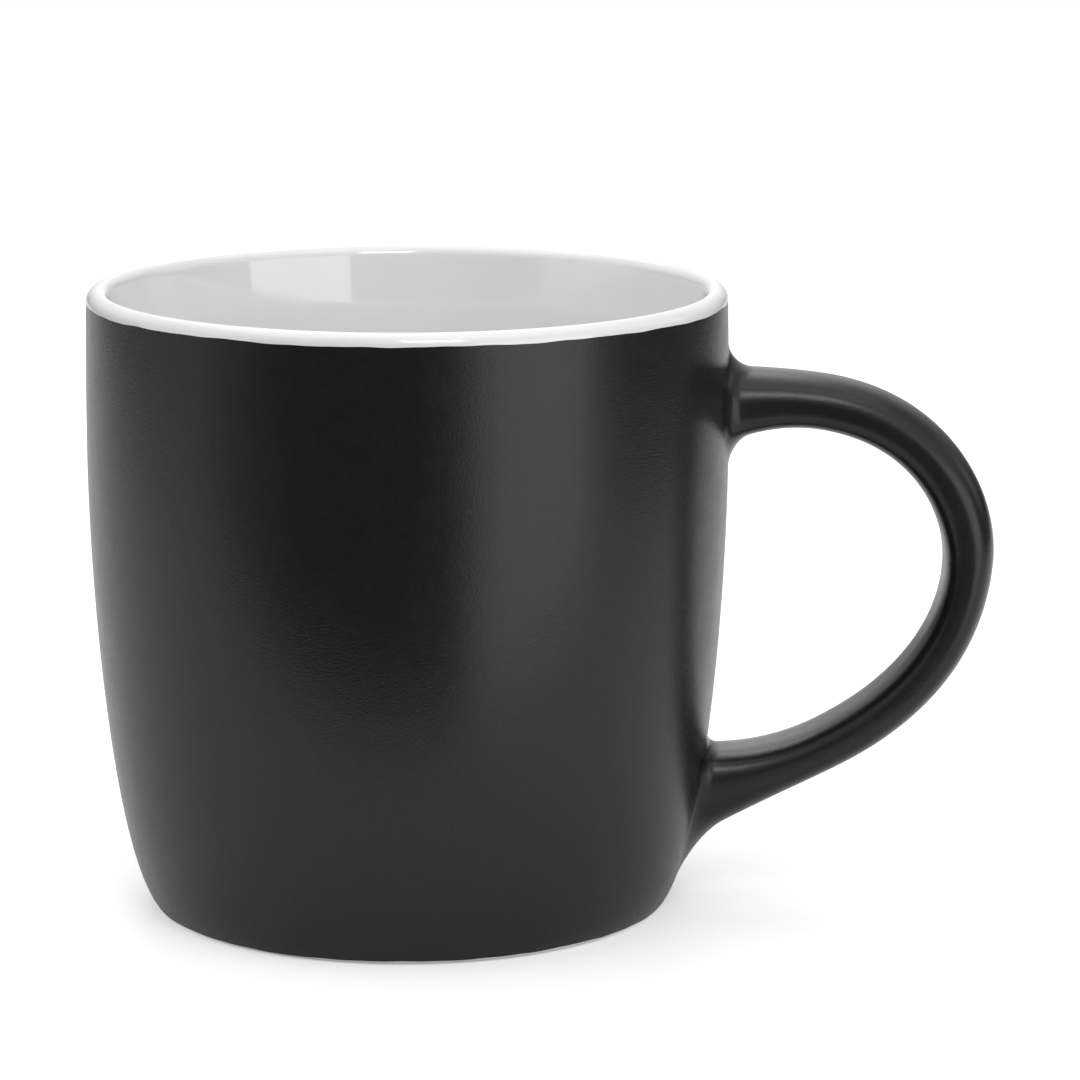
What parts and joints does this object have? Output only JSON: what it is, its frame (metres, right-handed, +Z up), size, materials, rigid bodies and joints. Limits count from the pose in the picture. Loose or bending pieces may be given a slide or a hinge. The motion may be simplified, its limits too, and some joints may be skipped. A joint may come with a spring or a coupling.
{
  "type": "mug",
  "caption": "Barrel-shaped ceramic mug with a looped side handle, matt outside, gloss liner over a rounded lip, and a narrow foot ring.",
  "frame": {"origin": "centre of the foot ring, on the surface that the mug stands on", "axes": "+Z up out of the mouth; +X from the mug's axis towards the handle"},
  "size_m": [0.1281, 0.0904, 0.0885],
  "materials": {
    "fired_clay": "unglazed, fine grained",
    "fired_slip": "unglazed, smooth",
    "white_gloss_glaze": "gloss",
    "matt_black_glaze": "matt with a fine speckle"
  },
  "bodies": {
    "root": {"cup_body": "fired_clay", "handle": "fired_clay", "upper_joint_slip": "fired_slip", "lower_joint_slip": "fired_slip", "liner_glaze": "white_gloss_glaze", "body_glaze": "matt_black_glaze", "handle_glaze": "matt_black_glaze", "base_glaze": "white_gloss_glaze"}
  },
  "joints": []
}
